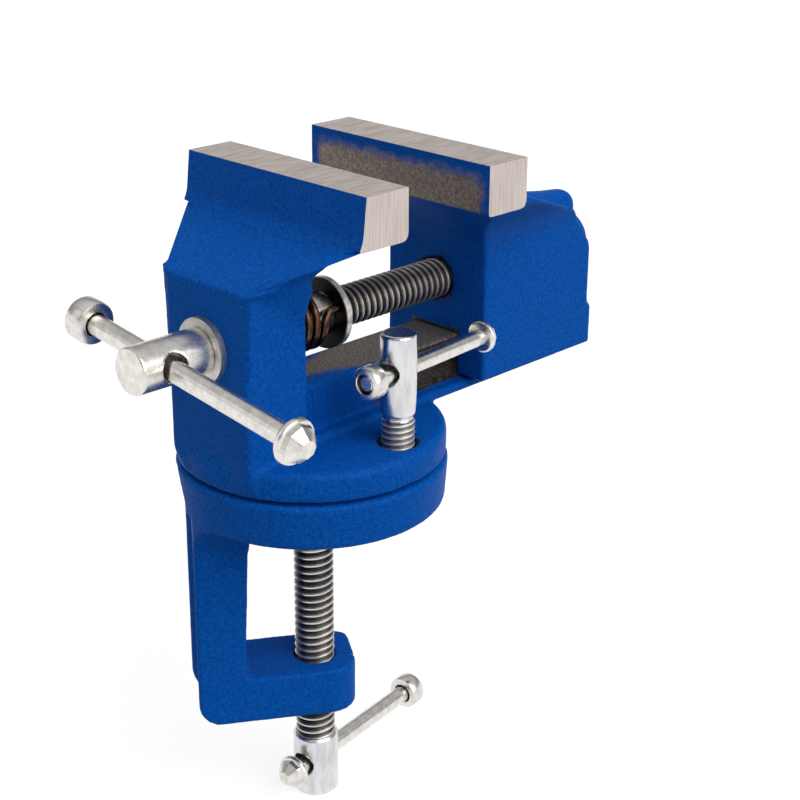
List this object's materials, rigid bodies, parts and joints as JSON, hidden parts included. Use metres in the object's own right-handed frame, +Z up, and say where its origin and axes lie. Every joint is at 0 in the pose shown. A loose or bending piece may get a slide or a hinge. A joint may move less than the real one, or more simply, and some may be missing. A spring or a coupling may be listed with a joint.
{
  "type": "swivel bench vise",
  "caption": "Small clamp-on swivel bench vise: blue cast body, bare jaws, moving jaw on a rail drawn by a screw with sliding bar, swivel lock screw and table clamp.",
  "frame": {"origin": "on the swivel axis, at the underside of the base that sits on the table top", "axes": "+Z up along the swivel axis; +Y along the main screw away from its bar; +X along the jaws"},
  "size_m": [0.0808, 0.1469, 0.167],
  "materials": {
    "blue_casting": "rough satin blue paint over cast iron, jaw tops, ends and clamping faces bare",
    "oiled_steel": "dark oiled steel",
    "bright_steel": "bright nickel plate",
    "zinc_steel": "bright zinc plate",
    "spring_steel": "dark oiled spring steel"
  },
  "bodies": {
    "clamp": {"clamp_frame": "blue_casting"},
    "vise": {"fixed_jaw": "blue_casting", "pivot_bolt": "zinc_steel", "pivot_washer": "zinc_steel", "take_up_spring": "spring_steel"},
    "screw": {"main_screw": "oiled_steel", "thrust_washer": "zinc_steel", "inner_washer": "zinc_steel", "retaining_clip": "oiled_steel"},
    "handle": {"main_bar": "bright_steel", "main_bar_collar": "bright_steel"},
    "slider": {"moving_jaw": "blue_casting"},
    "lock": {"lock_screw": "zinc_steel"},
    "lock_handle": {"lock_bar": "bright_steel", "lock_bar_collar": "bright_steel"},
    "pad": {"clamp_pad": "zinc_steel"},
    "clamp_spindle": {"clamp_screw": "zinc_steel"},
    "clamp_handle": {"clamp_bar": "bright_steel", "clamp_bar_collar": "bright_steel"}
  },
  "joints": [
    {"name": "swivel", "type": "hinge", "parent": "clamp", "child": "vise", "pos_m": [0, 0, 0.012], "axis": [0, 0, 1], "continuous": true},
    {"name": "screw_turn", "type": "hinge", "parent": "vise", "child": "screw", "pos_m": [0, 0, 0.0452], "axis": [0, 1, 0], "range_deg": [-1548, 4716]},
    {"name": "jaw_slide", "type": "slide", "parent": "vise", "child": "slider", "axis": [0, 1, 0], "range_m": [-0.0261, 0.0085]},
    {"name": "handle_slide", "type": "slide", "parent": "screw", "child": "handle", "axis": [0.9932, 0, -0.1167], "range_m": [-0.036, 0.0174]},
    {"name": "lock_turn", "type": "hinge", "parent": "vise", "child": "lock", "pos_m": [0.0238, 0.0055, 0.0365], "axis": [0, 0, 1], "range_deg": [-86, 0]},
    {"name": "lock_handle_slide", "type": "slide", "parent": "lock", "child": "lock_handle", "axis": [-0.0698, 0.9976, 0], "range_m": [-0.004, 0.0026]},
    {"name": "pad_lift", "type": "slide", "parent": "clamp", "child": "pad", "axis": [0, 0, 1], "range_m": [-0.0354, 0.0051]},
    {"name": "clamp_turn", "type": "hinge", "parent": "pad", "child": "clamp_spindle", "pos_m": [0, 0, -0.04], "axis": [0, 0, 1], "range_deg": [-6390, 936]},
    {"name": "clamp_handle_slide", "type": "slide", "parent": "clamp_spindle", "child": "clamp_handle", "axis": [-0.134, 0.991, 0], "range_m": [-0.0312, 0.0016]}
  ],
  "couplings": [
    {"joint": "screw_turn", "follows": "jaw_slide", "rad_per_m": -3141.6},
    {"joint": "clamp_turn", "follows": "pad_lift", "rad_per_m": 3141.6}
  ]
}
